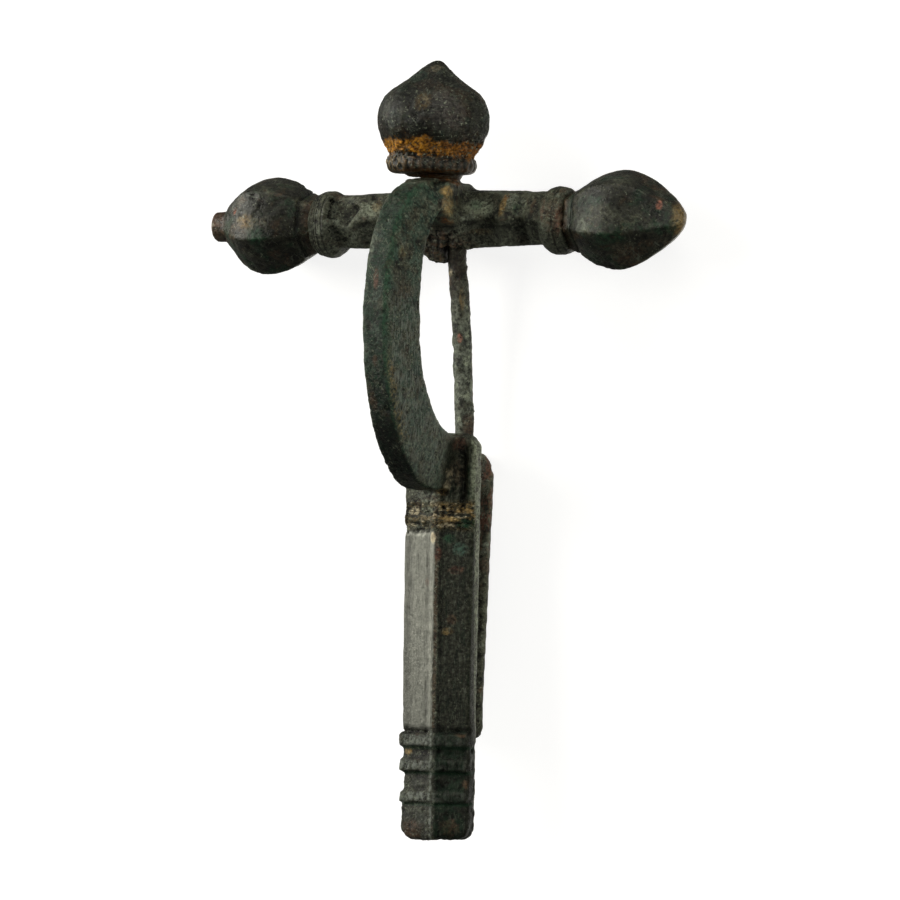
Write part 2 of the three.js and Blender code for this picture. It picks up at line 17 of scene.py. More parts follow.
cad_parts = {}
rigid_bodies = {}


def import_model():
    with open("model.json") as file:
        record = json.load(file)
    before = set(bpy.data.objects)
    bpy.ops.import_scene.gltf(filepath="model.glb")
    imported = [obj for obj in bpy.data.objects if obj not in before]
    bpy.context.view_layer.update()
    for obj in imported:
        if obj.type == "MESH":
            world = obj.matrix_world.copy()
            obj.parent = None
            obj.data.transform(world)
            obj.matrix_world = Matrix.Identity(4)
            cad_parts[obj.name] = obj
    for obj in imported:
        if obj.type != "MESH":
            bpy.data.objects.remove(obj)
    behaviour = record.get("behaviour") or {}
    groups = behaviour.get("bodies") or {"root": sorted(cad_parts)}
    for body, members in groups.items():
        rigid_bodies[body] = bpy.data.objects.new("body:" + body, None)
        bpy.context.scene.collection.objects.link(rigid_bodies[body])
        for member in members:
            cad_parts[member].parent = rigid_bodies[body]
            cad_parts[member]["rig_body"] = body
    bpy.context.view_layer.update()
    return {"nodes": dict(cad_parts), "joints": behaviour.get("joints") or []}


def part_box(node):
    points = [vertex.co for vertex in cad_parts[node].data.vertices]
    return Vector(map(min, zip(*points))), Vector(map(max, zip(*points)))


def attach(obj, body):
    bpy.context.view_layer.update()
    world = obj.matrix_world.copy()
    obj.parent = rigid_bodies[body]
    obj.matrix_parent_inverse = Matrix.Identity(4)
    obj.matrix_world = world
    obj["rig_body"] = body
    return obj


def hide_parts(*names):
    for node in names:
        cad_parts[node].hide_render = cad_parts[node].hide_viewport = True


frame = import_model()

MM = 0.001

# ---- places, in millimetres ---------------------------------------------------------------
HINGE = Vector(frame["joints"][0]["pos_m"]) / MM


def box_mm(node):
    """The low and high corner of a CAD node's box."""
    low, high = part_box(node)
    return low / MM, high / MM


LEFT_LOW, LEFT_HIGH = box_mm("left_knob")
RIGHT_LOW, RIGHT_HIGH = box_mm("right_knob")
ARM_END_X = box_mm("body")[1].x
BAR_Y, BAR_Z = HINGE.y, HINGE.z
HINGE_CRUST = Vector((HINGE.x - 0.6, BAR_Y - 2.4, BAR_Z + 0.6))  # where the crust is thickest

# the head knob
HEAD_FOOT_Y = box_mm("head_knob")[0].y
COLLAR_TOP_Y = HEAD_FOOT_Y + 2.4  # where the knob rises out of its beads

# the foot, which is roofed: a filed left slope painted light as a painted highlight and a right
# slope painted dark as painted shade, then moulded to its end
FOOT_START_Y = 1.5
FOOT_TOP_Z = BAR_Z + 2.0  # level of the ridge at the head end
BAND_Y = -6.9  # the cross band near the head end
PANEL_Y = -9.6  # the plain left wall just past the cross band
MOULDED_Y = -28.6  # from here on the foot is moulded
HATCHED_RIBS = (-29.75, -32.35, -35.55)  # ribs with file notches across them
CHANNEL_X = 2.75  # a channel beside the right rim at the head end
WALL_LIGHT_Z = 6.2  # the light part of the right wall lies below this level
LIP_BEND = 0.22  # the catch's lip and the foot's end are bent outward this far
END_SPREAD = 0.13

# the bow's outer face
BOW_HALF_WIDTH = 1.4
BOW_CROWN_Z = BAR_Z + 8.5  # above this level it counts as the crown

# the joints between the knobs and their seats
JOINT_FADE = 0.9  # length of a knob over which its foot is drawn out
JOINT_REACH = 0.45
NECK_RADIUS = 3.1
ARM_RADIUS = 9  # wider than an arm's knob: its whole foot is drawn out


# ---- fine meshes --------------------------------------------------------------------------
BODY_CELL = 0.19  # sizes of the cells; the body's keeps it under 200,000 triangles
KNOB_CELL = 0.14
HEAD_CELL = 0.13
PIN_CELL = 0.13
SMOOTHINGS = 2
NEAR_PASSES = 3  # rounds of spreading that tell a vertex's edges, and its broad hollows
BROAD_PASSES = 14


def evened(node, cell):
    """A merged copy of a CAD solid, in millimetres, remeshed evenly and smoothed a little."""
    bm = bmesh.new()
    bm.from_mesh(frame["nodes"][node].data)
    bmesh.ops.remove_doubles(bm, verts=bm.verts, dist=1e-6)
    bmesh.ops.scale(bm, vec=Vector((1 / MM,) * 3), verts=bm.verts)
    mesh = bpy.data.meshes.new(node + "_even")
    bm.to_mesh(mesh)
    bm.free()
    holder = bpy.data.objects.new(node + "_even", mesh)
    bpy.context.scene.collection.objects.link(holder)
    remesh = holder.modifiers.new("even", "REMESH")
    remesh.mode = "VOXEL"
    remesh.voxel_size = cell
    smooth = holder.modifiers.new("soft", "SMOOTH")
    smooth.factor = 0.5
    smooth.iterations = SMOOTHINGS
    evaluated = holder.evaluated_get(bpy.context.evaluated_depsgraph_get())
    result = bpy.data.meshes.new_from_object(evaluated)
    bpy.data.objects.remove(holder)
    bpy.data.meshes.remove(mesh)
    return result


def coordinates(mesh, normals=False):
    """The places of a mesh's vertices, or their normals."""
    values = np.empty(len(mesh.vertices) * 3, np.float32)
    if normals:
        mesh.vertex_normals.foreach_get("vector", values)
    else:
        mesh.vertices.foreach_get("co", values)
    return values.reshape(-1, 3).astype(float)


def hollowness(mesh, passes, depth):
    """How far each vertex lies below its surroundings: 1 in a hollow, -1 on a ridge."""
    ends = np.empty(len(mesh.edges) * 2, np.int32)
    mesh.edges.foreach_get("vertices", ends)
    a, b = ends.reshape(-1, 2).T
    count = len(mesh.vertices)
    degree = np.bincount(a, minlength=count) + np.bincount(b, minlength=count)
    start = coordinates(mesh)
    spread = start.copy()
    for _ in range(passes):
        total = np.empty_like(spread)
        for axis in range(3):
            total[:, axis] = np.bincount(a, weights=spread[b, axis], minlength=count)
            total[:, axis] += np.bincount(b, weights=spread[a, axis], minlength=count)
        spread = total / degree[:, None]
    raised = ((spread - start) * coordinates(mesh, normals=True)).sum(1)
    return np.clip(raised / depth, -1, 1)


def ramp(value, low, high):
    """0 below low, 1 above high, smooth between them."""
    t = min(max((value - low) / (high - low), 0.0), 1.0)
    return t * t * (3 - 2 * t)


def nearness(point, place, radius):
    """1 at a place, fading to 0 at the radius."""
    return 1 - ramp((point - place).length, 0.35 * radius, radius)


def pit(point, size, depth):
    """Round corrosion pits in some of the cells of a grid of that size."""
    distance = noise.voronoi(point / size)[0][0]
    gate = ramp(noise.noise(point / (size * 5)), 0.05, 0.35)
    return -depth * gate * (1 - ramp(distance, 0.1, 0.42))


def cast_skin(point, edge, lumps, grain, pits):
    """Height of worn cast metal over its solid; `edge` is the hollowness there."""
    worn = min(edge, 0) * (0.05 + 0.09 * max(noise.noise(point * 0.9), 0))
    broad = noise.fractal(point * 0.45, 1.0, 2.1, 3) * lumps
    fine = noise.fractal(point * 2.6, 0.9, 2.0, 3) * grain
    small_pit = pit(point + Vector((7, 3, 1)), 0.6, pits * 0.5)
    return worn + broad + fine + pit(point, 1.4, pits) + small_pit


def crust(point, size, height):
    """Flaky lumps of corrosion product that stand on the metal."""
    flakes = noise.voronoi(Vector((point.x / size, point.y / size * 1.5, point.z / size)))
    step = flakes[0][1] - flakes[0][0]
    lump = ramp(noise.fractal(point / size, 1.0, 2.0, 3), -0.2, 0.5)
    return height * (lump + 0.5 * ramp(step, 0.0, 0.3) - 0.6)


def groove(distance, width, depth):
    """A rounded groove; distance is counted from its middle line."""
    return -depth * (1 - ramp(abs(distance), 0.2 * width, width))


def body_skin(point, edge):
    """Filed slopes, a crusted cross band and hinge, and notched ribs on the foot's end."""
    x, y, z = point
    on_foot = ramp(-y, -FOOT_START_Y, 1.0) * (1 - ramp(z, FOOT_TOP_Z + 1.8, FOOT_TOP_Z + 2.6))
    on_roof = on_foot * ramp(z, BAR_Z + 0.8, BAR_Z + 1.6)
    moulded = ramp(-y, -MOULDED_Y - 0.3, -MOULDED_Y + 0.3)
    band = on_roof * (1 - ramp(abs(y - BAND_Y), 1.2, 2.2))
    filed = on_foot * (1 - moulded) * (1 - band) * ramp(-y, 8.5, 9.5)
    rough = 1 - 0.75 * filed
    grain = 0.035 * rough + 0.02 * moulded
    height = cast_skin(point, edge, 0.06 * rough, grain, 0.14 * rough)
    height += band * (crust(point, 0.5, 0.16) + 0.22 * edge)
    height += nearness(point, HINGE_CRUST, 4.4) * crust(point, 0.75, 0.28)
    if moulded > 0:
        height += moulded * 0.13 * noise.fractal(point * 0.9, 1.0, 2.0, 2)
        for rib in HATCHED_RIBS:
            on_rib = 1 - ramp(abs(y - rib), 0.35, 0.6)
            notch = ramp(math.sin(x * 9.0 + y * 2.0 + 2 * x * x), 0.1, 0.9)
            height -= on_roof * on_rib * 0.12 * notch
    if y > -7.5 and on_roof > 0:
        height += on_roof * groove(x - CHANNEL_X, 0.6, 0.35) * ramp(y, -7.0, -5.5)
    if on_roof > 0:
        height += on_roof * groove(x - 0.75, 0.3, 0.1) * (0.5 + noise.noise(point * 0.8))
        height += on_roof * groove(x + 0.75, 0.3, 0.06) * (0.5 + noise.noise(point * 0.7))
    return height


def knob_skin(point, edge):
    """An arm's knob, with a turned groove near its foot."""
    height = cast_skin(point, edge, 0.07, 0.02, 0.12)
    return height + groove(abs(point.x) - ARM_END_X - 1.15, 0.22, 0.13)


def head_skin(point, edge):
    """The head knob, crusted with rust where it rises out of its beads."""
    height = cast_skin(point, edge, 0.12, 0.025, 0.16)
    rust = 1 - ramp(abs(point.y - COLLAR_TOP_Y - 0.3), 0.5, 1.4)
    return height + rust * crust(point, 0.45, 0.16)


def pin_skin(point, edge):
    """The pin, pitted and crusted in places."""
    rust = ramp(noise.noise(point * 0.35), 0.1, 0.4)
    return cast_skin(point, edge, 0.11, 0.035, 0.14) + rust * crust(point, 0.5, 0.11)


def share(values):
    """Values held between 0 and 1."""
    return np.clip(values, 0, 1)


def drawn_foot(axis, seat, reach, radius):
    """Draws the foot of a knob across the joint line; beyond the radius its rim is drawn back."""

    def settle(points):
        near = share(1 - np.abs(points[:, axis] - seat) / JOINT_FADE) ** 2
        across = [i for i in range(3) if i != axis]
        middle = (points[:, across].max(0) + points[:, across].min(0)) / 2
        inside = share((radius - np.linalg.norm(points[:, across] - middle, axis=1)) / 0.4)
        points[:, axis] += reach * near * (1.7 * inside - 0.7)

    return settle


def settle_body(points):
    """Fills the cross band's left end and bends the catch's lip and the foot's end outward."""
    x, y, z = points.T
    wall = x[(np.abs(y - PANEL_Y) < 0.4) & (z > BAR_Z)].min()
    at_band = share(1.6 - np.abs(y - BAND_Y) / 1.5) * share((-2.2 - x) / 0.8) * (z > BAR_Z - 2)
    x += (wall + 0.1 - x) * 0.75 * at_band
    lip = share((x - 2.3) / 0.5) * share((BAR_Z - 1.2 - z) / 0.6) * share(-y - 1.5)
    x += LIP_BEND * lip
    end = share((x - 2.5) / 0.8) * share((MOULDED_Y + 3.0 - y) / 3.0)
    x += END_SPREAD * end


def aged_piece(node, name, cell, skin, material, settle=None):
    """Builds the fine piece that stands for a CAD node and gives it the node's body."""
    mesh = evened(node, cell)
    mesh.name = name
    edge = hollowness(mesh, NEAR_PASSES, cell * 0.35)
    points = coordinates(mesh)
    normals = coordinates(mesh, normals=True)
    heights = np.array([skin(Vector(p), float(e)) for p, e in zip(points, edge)])
    points += normals * heights[:, None]
    if settle:
        settle(points)
    mesh.vertices.foreach_set("co", (points * MM).astype(np.float32).ravel())
    mesh.update()
    store(mesh, "edge", hollowness(mesh, NEAR_PASSES, cell * 0.4 * MM))
    store(mesh, "hollow", hollowness(mesh, BROAD_PASSES, cell * 1.6 * MM))
    for polygon in mesh.polygons:
        polygon.use_smooth = True
    piece = bpy.data.objects.new(name, mesh)
    bpy.context.scene.collection.objects.link(piece)
    piece.data.materials.clear()
    piece.data.materials.append(material)
    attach(piece, frame["nodes"][node]["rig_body"])
    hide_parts(node)


def store(mesh, name, values):
    """Keeps one number per vertex for the mesh's material."""
    attribute = mesh.attributes.new(name, "FLOAT", "POINT")
    attribute.data.foreach_set("value", values.astype(np.float32))


# ---- shader maths -------------------------------------------------------------------------
class Value:
    """A shader socket; arithmetic on it adds Math nodes."""

    def __init__(self, shader, socket):
        self.shader = shader
        self.socket = socket

    def math(self, operation, *others, flip=False):
        terms = [self, *others]
        if flip:
            terms.reverse()
        return self.shader.node("ShaderNodeMath", {"operation": operation}, dict(enumerate(terms)))

    def __add__(self, other):
        return self.math("ADD", other)

    def __sub__(self, other):
        return self.math("SUBTRACT", other)

    def __rsub__(self, other):
        return self.math("SUBTRACT", other, flip=True)

    def __mul__(self, other):
        return self.math("MULTIPLY", other)

    __radd__ = __add__
    __rmul__ = __mul__

    def most(self, other):
        return self.math("MAXIMUM", other)

    def size(self):
        """The value without its sign."""
        return self.math("ABSOLUTE")

    def rise(self, low, high):
        """0 below low, 1 above high, smooth between them; with high below low it falls."""
        ends = dict(zip(("From Min", "From Max"), sorted((low, high))))
        settings = {"interpolation_type": "SMOOTHSTEP", "clamp": True}
        risen = self.shader.node("ShaderNodeMapRange", settings, {"Value": self, **ends})
        return risen if high > low else 1 - risen

    def between(self, low, high, soft):
        """1 between low and high, with edges that are soft to either side."""
        return self.rise(low - soft, low + soft) * self.rise(high + soft, high - soft)


class Shader:
    """A node material with one Principled surface, and what its patterns are mixed from.

    x, y and z are the place in millimetres; edge and hollow come from the mesh; stray bends the
    rims of spots; fine and crumbs break colors up.
    """

    def __init__(self, name):
        self.material = bpy.data.materials.new(name)
        self.material.use_nodes = True
        self.tree = self.material.node_tree
        self.surface = self.tree.nodes["Principled BSDF"]
        coordinate = self.node("ShaderNodeTexCoord", output="Object")
        self.place = self.node("ShaderNodeVectorMath", {"operation": "SCALE"}, {
            0: coordinate, "Scale": 1 / MM,
        })
        axes = self.node("ShaderNodeSeparateXYZ", inputs={0: self.place})
        self.x, self.y, self.z = (Value(self, s) for s in axes.socket.node.outputs)
        self.edge = self.node("ShaderNodeAttribute", {"attribute_name": "edge"}, output="Fac")
        self.hollow = self.node("ShaderNodeAttribute", {"attribute_name": "hollow"}, output="Fac")
        cloud = self.node("ShaderNodeTexNoise", None, {
            "Vector": self.place, "Scale": 1.1, "Detail": 6.0, "Roughness": 0.75,
        }, "Color")
        self.stray = self.node("ShaderNodeVectorMath", {"operation": "SUBTRACT"}, {
            0: cloud, 1: (0.5, 0.5, 0.5),
        })
        self.fine = self.noise(0.34, 5.0, 0.68, offset=(3, 5, 7))
        self.crumbs = self.noise(0.55, 5.0, 0.75, offset=(9, 4, 1)).rise(0.36, 0.54) * 0.75 + 0.25

    def node(self, kind, settings=None, inputs=None, output=0):
        """Adds a node: its settings first, then the values or links of its sockets."""
        node = self.tree.nodes.new(kind)
        for key, value in (settings or {}).items():
            setattr(node, key, value)
        for key, value in (inputs or {}).items():
            self.feed(node.inputs[key], value)
        return Value(self, node.outputs[output])

    def feed(self, socket, value):
        if isinstance(value, Value):
            self.tree.links.new(value.socket, socket)
        elif socket.type == "RGBA" and isinstance(value, float):
            socket.default_value = (value, value, value, 1.0)
        else:
            socket.default_value = value

    def noise(self, size, detail, roughness, stretch=(1, 1, 1), offset=(0, 0, 0), turn=(0, 0, 0)):
        """Noise about 0.5, with features of `size` millimetres, longer where stretch is more."""
        place = self.node("ShaderNodeMapping", {"vector_type": "TEXTURE"}, {
            "Vector": self.place, "Location": offset, "Rotation": turn,
            "Scale": tuple(size * s for s in stretch),
        })
        return self.node("ShaderNodeTexNoise", None, {
            "Vector": place, "Scale": 1.0, "Detail": detail, "Roughness": roughness,
        })

    def spot(self, place, radii):
        """A patch about a place, with a ragged rim and a crumbly fill."""
        stray = min(radii) * 1.5
        settings = {"operation": "MULTIPLY_ADD"}
        strayed = self.node("ShaderNodeVectorMath", settings, {
            0: self.stray, 1: (stray,) * 3, 2: self.place,
        })
        shrunk = self.node("ShaderNodeVectorMath", settings, {
            0: strayed, 1: tuple(1 / r for r in radii),
            2: tuple(-c / r for c, r in zip(place, radii)),
        })
        away = self.node("ShaderNodeVectorMath", {"operation": "LENGTH"}, {0: shrunk}, "Value")
        return away.rise(1.05, 0.45) * self.crumbs

    def mix(self, below, above, mask):
        """The color `above` laid over `below` where the mask is 1."""
        inputs = {0: mask, 6: tone(below), 7: tone(above)}
        return self.node("ShaderNodeMix", {"data_type": "RGBA"}, inputs, 2)

    def scaled(self, color, value):
        """The color times a value that varies over the surface."""
        settings = {"data_type": "RGBA", "blend_type": "MULTIPLY"}
        return self.node("ShaderNodeMix", settings, {0: 1.0, 6: color, 7: value}, 2)

    def dimmed(self, color, amount):
        """The color darkened: 1 is black."""
        return self.scaled(color, 1 - amount)

    def weathered_and_shaded(self, color, depth=1.0):
        """Breaks a color up finely: darker in pits, creases and hollows, as dirt and painted
        shade, and lighter where it is worn.
        """
        value = self.fine.rise(0.34, 0.66) * (1.3 * depth) + (1 - 0.65 * depth)
        return self.scaled(color, (value - self.hollow * 0.5 - self.edge * 0.6).most(0.12))

    def scratched(self, color, stain, strength, turns, length=16.0):
        """Fine hairs of another color that cross each other."""
        gate = self.noise(2.4, 4.0, 0.65, offset=(6, 1, 6)).rise(0.47, 0.60) * strength
        for turn in turns:
            stretch, offset = (1, length, length), (turn[2], 1, 2)
            hairs = self.noise(0.11, 3.0, 0.6, stretch=stretch, offset=offset, turn=turn)
            color = self.mix(color, stain, hairs.rise(0.59, 0.66) * gate)
        return color

    def finish(self, color, roughness, metallic, heights, specular):
        """Gives the surface what was mixed for it; heights are in millimetres."""
        self.feed(self.surface.inputs["Base Color"], color)
        self.feed(self.surface.inputs["Roughness"], roughness)
        self.feed(self.surface.inputs["Metallic"], metallic)
        self.surface.inputs["Specular IOR Level"].default_value = specular
        inputs = {"Height": heights, "Distance": MM, "Strength": 1.0}
        bump = self.node("ShaderNodeBump", None, inputs)
        self.feed(self.surface.inputs["Normal"], bump)
        return self.material


def tone(color):
    """A color for a socket, whether it is mixed already or three numbers."""
    return color if isinstance(color, Value) else (*color, 1.0)


# ---- patina -------------------------------------------------------------------------------
# colors of corroded bronze, in linear light
SOOT = (0.004, 0.0045, 0.003)
DARK_BRONZE = (0.014, 0.0145, 0.0095)
OLIVE = (0.040, 0.042, 0.028)
GREY_GREEN = (0.082, 0.092, 0.070)
PALE_GREEN = (0.17, 0.19, 0.135)
TEAL = (0.026, 0.052, 0.038)
DEEP_GREEN = (0.006, 0.023, 0.011)
BRIGHT_GREEN = (0.022, 0.060, 0.034)
BROWN = (0.042, 0.025, 0.014)
RED_BROWN = (0.075, 0.034, 0.022)
RUST = (0.12, 0.045, 0.008)
ORANGE = (0.34, 0.15, 0.012)
CREAM = (0.38, 0.33, 0.22)
OCHRE = (0.19, 0.125, 0.045)
COPPER_RED = (0.19, 0.075, 0.05)
FROSTED = (0.17, 0.19, 0.165)
VIOLET_GREY = (0.052, 0.047, 0.044)
STEEL_GREY = (0.125, 0.127, 0.110)
DARK_STEEL = (0.068, 0.070, 0.060)
CROSSED = [(0, 0, 0.6), (0.5, 0.4, -0.7), (0, 0.8, 1.3)]  # turns of crossing scratches


def mottled(shader, dark, middle, light, size):
    """Patina of three tones in clouds and crumbs."""
    clouds = shader.noise(size, 8.0, 0.66)
    color = shader.mix(dark, middle, clouds.rise(0.40, 0.49))
    return shader.mix(color, light, clouds.rise(0.54, 0.63))


def grain_height(shader, size, height):
    """Lumps of that size and height, for a bump."""
    return (shader.noise(size, 7.0, 0.72) - 0.5) * height


def patches(shader, color, spots):
    """Stains at their places: (place, radii, color, strength)."""
    for place, radii, stain, strength in spots:
        color = shader.mix(color, stain, shader.spot(place, radii) * strength)
    return color


def specks(shader, color, stain, size, density, strength, offset):
    """Scattered flecks; a smaller density leaves fewer of them."""
    fleck = shader.noise(size, 3.0, 0.6, offset=offset).rise(0.72 - density, 0.78 - density)
    return shader.mix(color, stain, fleck * strength)


def lines_round_axis(shader, places, width):
    """Thin turned lines at these x places."""
    wobble = (shader.noise(1.5, 3.0, 0.6) - 0.5) * 0.25
    total = None
    for place in places:
        line = (shader.x - place + wobble).size().rise(width, 0.3 * width)
        total = line if total is None else total.most(line)
    return total


KNOB_STAINS = [
    # bare copper on a facet of either knob
    ((-22.5, BAR_Y + 1.5, BAR_Z + 3.7), (0.45, 0.5, 0.6), COPPER_RED, 0.9),
    ((24.9, BAR_Y + 1.3, BAR_Z + 2.3), (0.35, 0.6, 0.8), COPPER_RED, 1.0),
    # painted highlight: light clouds on the lit facets; green along the ridge below them, brown
    # toward the tips
    ((17.2, BAR_Y - 0.6, BAR_Z + 4.6), (0.9, 1.4, 1.5), GREY_GREEN, 0.9),
    ((20.0, BAR_Y + 0.4, BAR_Z + 5.2), (2.2, 1.2, 1.5), OLIVE, 0.7),
    ((-20.9, BAR_Y + 0.3, BAR_Z + 4.8), (1.4, 0.9, 1.5), OCHRE, 0.35),
    ((-19.3, BAR_Y - 1.3, BAR_Z + 4.6), (1.5, 1.2, 1.6), DEEP_GREEN, 0.8),
    ((20.2, BAR_Y - 2.0, BAR_Z + 4.4), (2.4, 0.8, 1.5), DEEP_GREEN, 0.9),
    ((21.5, BAR_Y - 3.6, BAR_Z + 2.6), (2.2, 1.6, 1.6), BROWN, 0.6),
    ((-22.6, BAR_Y - 1.0, BAR_Z + 3.4), (1.0, 1.2, 1.6), BROWN, 0.7),
]


def knob_material():
    """Near-black bronze knobs of the arms, with green stains and a broken stub at the left."""
    shader = Shader("arm_knob_patina")
    color = mottled(shader, SOOT, DARK_BRONZE, OLIVE, 2.2)
    green = shader.noise(2.8, 6.0, 0.65, offset=(11, 2, 4)).rise(0.50, 0.60)
    color = shader.mix(color, DEEP_GREEN, green * 0.6)
    brown = shader.noise(2.2, 6.0, 0.7, offset=(1, 7, 7)).rise(0.54, 0.64)
    color = shader.mix(color, BROWN, brown * 0.6)
    color = patches(shader, color, KNOB_STAINS)
    worn_tip = shader.x.rise(RIGHT_HIGH.x - 1.1, RIGHT_HIGH.x - 0.2) * shader.crumbs
    color = shader.mix(color, OCHRE, worn_tip * 0.6)
    stub = shader.x.rise(LEFT_LOW.x + 1.9, LEFT_LOW.x + 1.5) * shader.crumbs
    color = shader.mix(color, RED_BROWN, stub * 0.5)
    joint = shader.x.size().rise(ARM_END_X + 1.1, ARM_END_X + 0.3)
    color = shader.mix(color, BROWN, joint * shader.crumbs * 0.8)
    color = shader.weathered_and_shaded(color, 1.1)
    color = shader.scratched(color, GREY_GREEN, 0.7, CROSSED)
    # pale flecks: pale corrosion specks, partly painted glints
    color = specks(shader, color, PALE_GREEN, 0.26, 0.07, 0.8, (1, 9, 2))
    color = specks(shader, color, SOOT, 0.4, 0.10, 0.8, (4, 9, 9))
    roughness = shader.noise(1.0, 6.0, 0.7) * 0.5 + 0.04
    height = grain_height(shader, 0.8, 0.12) + (shader.fine - 0.5) * 0.06
    height = height - lines_round_axis(shader, (15.55, -15.4), 0.14) * 0.1
    return shader.finish(color, roughness, 0.2, height, 0.28)


HEAD_STAINS = [
    # an ochre scar in front and a worn tip
    ((1.0, HEAD_FOOT_Y + 7.6, 12.6), (1.0, 1.3, 2.0), OCHRE, 0.45),
    ((1.2, HEAD_FOOT_Y + 7.8, 12.6), (0.45, 0.4, 2.0), CREAM, 0.35),
    ((0.8, HEAD_FOOT_Y + 11.2, 9.2), (0.7, 0.5, 2.0), CREAM, 0.35),
    # green toward the tip and the left, violet-grey at the right, soot above the rust
    ((-3.4, HEAD_FOOT_Y + 7.5, 11.4), (0.9, 2.6, 2.0), GREY_GREEN, 0.5),
    ((-1.6, HEAD_FOOT_Y + 9.3, 11.2), (1.3, 1.5, 2.0), DEEP_GREEN, 0.6),
    ((3.2, HEAD_FOOT_Y + 6.6, 11.5), (2.0, 3.0, 2.6), VIOLET_GREY, 0.8),
    ((-0.6, HEAD_FOOT_Y + 10.4, 10.2), (1.6, 1.0, 2.0), TEAL, 0.8),
    ((0.8, HEAD_FOOT_Y + 4.9, 12.6), (1.5, 0.7, 2.0), SOOT, 0.8),
]


def head_material():
    """Dark head knob with a band of rust above its beads."""
    shader = Shader("head_knob_patina")
    color = mottled(shader, SOOT, DARK_BRONZE, OLIVE, 2.6)
    brown = shader.noise(2.8, 6.0, 0.65, offset=(5, 2, 9)).rise(0.48, 0.60)
    color = shader.mix(color, BROWN, brown * 0.55)
    green = shader.noise(2.6, 6.0, 0.65, offset=(1, 6, 3)).rise(0.53, 0.62)
    color = shader.mix(color, TEAL, green * 0.4)
    color = patches(shader, color, HEAD_STAINS)
    color = shader.dimmed(color, shader.x.rise(3.0, 1.0) * 0.28 + 0.32)
    on_beads = shader.y.rise(COLLAR_TOP_Y + 0.1, COLLAR_TOP_Y - 0.4)
    worn = shader.mix(BROWN, OCHRE, shader.x.rise(0.5, -4.0) * 0.5)
    color = shader.dimmed(color, on_beads * 0.6)
    color = shader.mix(color, worn, on_beads * shader.edge.rise(0.1, -0.6) * 0.7)
    color = shader.mix(color, SOOT, on_beads * shader.edge.rise(-0.3, 0.15) * 0.95)
    climb = (shader.noise(1.7, 6.0, 0.7, offset=(4, 4, 0)) - 0.5) * 3.0
    climb = climb + shader.x.rise(4.5, 1.0) * 0.6
    band = (shader.y - climb).between(COLLAR_TOP_Y - 0.5, COLLAR_TOP_Y + 0.75, 0.35)
    color = shader.mix(color, RUST, band)
    bright = shader.noise(1.3, 6.0, 0.65).rise(0.36, 0.52) * shader.x.rise(6.0, -0.5)
    color = shader.mix(color, ORANGE, band * bright * 0.9)
    below = shader.y.rise(HEAD_FOOT_Y + 0.9, HEAD_FOOT_Y + 0.2)
    color = shader.dimmed(shader.mix(color, RUST, below * 0.9), below * 0.85)
    color = shader.weathered_and_shaded(color, 1.1 - band * 0.6)
    color = shader.scratched(color, GREY_GREEN, 0.7, CROSSED)
    turned = shader.noise(0.12, 4.0, 0.6, stretch=(9, 1, 9)).rise(0.52, 0.64)
    color = shader.mix(color, GREY_GREEN, turned * shader.x.rise(0.5, 2.5) * 0.35)
    # pale flecks: pale corrosion specks, partly painted glints
    color = specks(shader, color, PALE_GREEN, 0.26, 0.10, 0.9, (2, 4, 1))
    color = specks(shader, color, SOOT, 0.45, 0.12, 0.8, (4, 9, 9))
    roughness = shader.noise(1.0, 6.0, 0.7) * 0.5 + 0.06 + band * 0.35
    height = grain_height(shader, 0.8, 0.14) + (shader.fine - 0.5) * 0.07
    return shader.finish(color, roughness, 0.1, height, 0.2)


